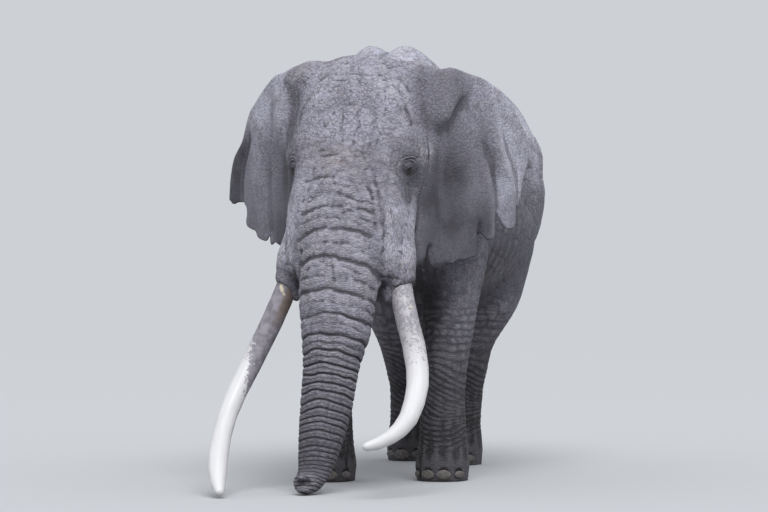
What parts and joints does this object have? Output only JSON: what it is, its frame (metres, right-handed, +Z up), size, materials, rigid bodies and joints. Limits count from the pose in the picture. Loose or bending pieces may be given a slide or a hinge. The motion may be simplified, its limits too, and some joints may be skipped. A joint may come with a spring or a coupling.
{
  "type": "elephant model",
  "caption": "Life-size still model of an old African savanna elephant bull with long tusks, standing with its trunk hanging to the ground and its ears half spread.",
  "frame": {"origin": "on the floor, under the middle of the whole animal with its tusks and tail", "axes": "+Z is up, the bull faces -Y, and its left side is +X"},
  "size_m": [2.384, 5.121, 3.3528],
  "materials": {
    "hide": "dry, deeply wrinkled grey skin with pale dust on the brow and back",
    "ivory": "smooth ivory, worn white towards the tip and stained grey-brown near the lip",
    "horn": "rough toenail horn, rubbed and dusty",
    "eye": "wet and glossy, brown iris",
    "bristle": "stiff, dark, slightly glossy tail bristles"
  },
  "bodies": {
    "root": {"torso": "hide", "neck": "hide", "head": "hide", "jaw": "hide", "trunk_upper": "hide", "trunk_lower": "hide", "trunk_tip": "hide", "tail_root": "hide", "tail_tip": "hide", "upper_leg_front_left": "hide", "lower_leg_front_left": "hide", "foot_front_left": "hide", "upper_leg_front_right": "hide", "lower_leg_front_right": "hide", "foot_front_right": "hide", "upper_leg_hind_left": "hide", "lower_leg_hind_left": "hide", "foot_hind_left": "hide", "upper_leg_hind_right": "hide", "lower_leg_hind_right": "hide", "foot_hind_right": "hide", "ear_left": "hide", "ear_right": "hide", "tusk_left": "ivory", "tusk_right": "ivory", "eye_left": "eye", "eye_right": "eye", "tail_tuft": "bristle", "nail_front_left_1": "horn", "nail_front_left_2": "horn", "nail_front_left_3": "horn", "nail_front_left_4": "horn", "nail_front_right_1": "horn", "nail_front_right_2": "horn", "nail_front_right_3": "horn", "nail_front_right_4": "horn", "nail_hind_left_1": "horn", "nail_hind_left_2": "horn", "nail_hind_left_3": "horn", "nail_hind_right_1": "horn", "nail_hind_right_2": "horn", "nail_hind_right_3": "horn"}
  },
  "joints": []
}
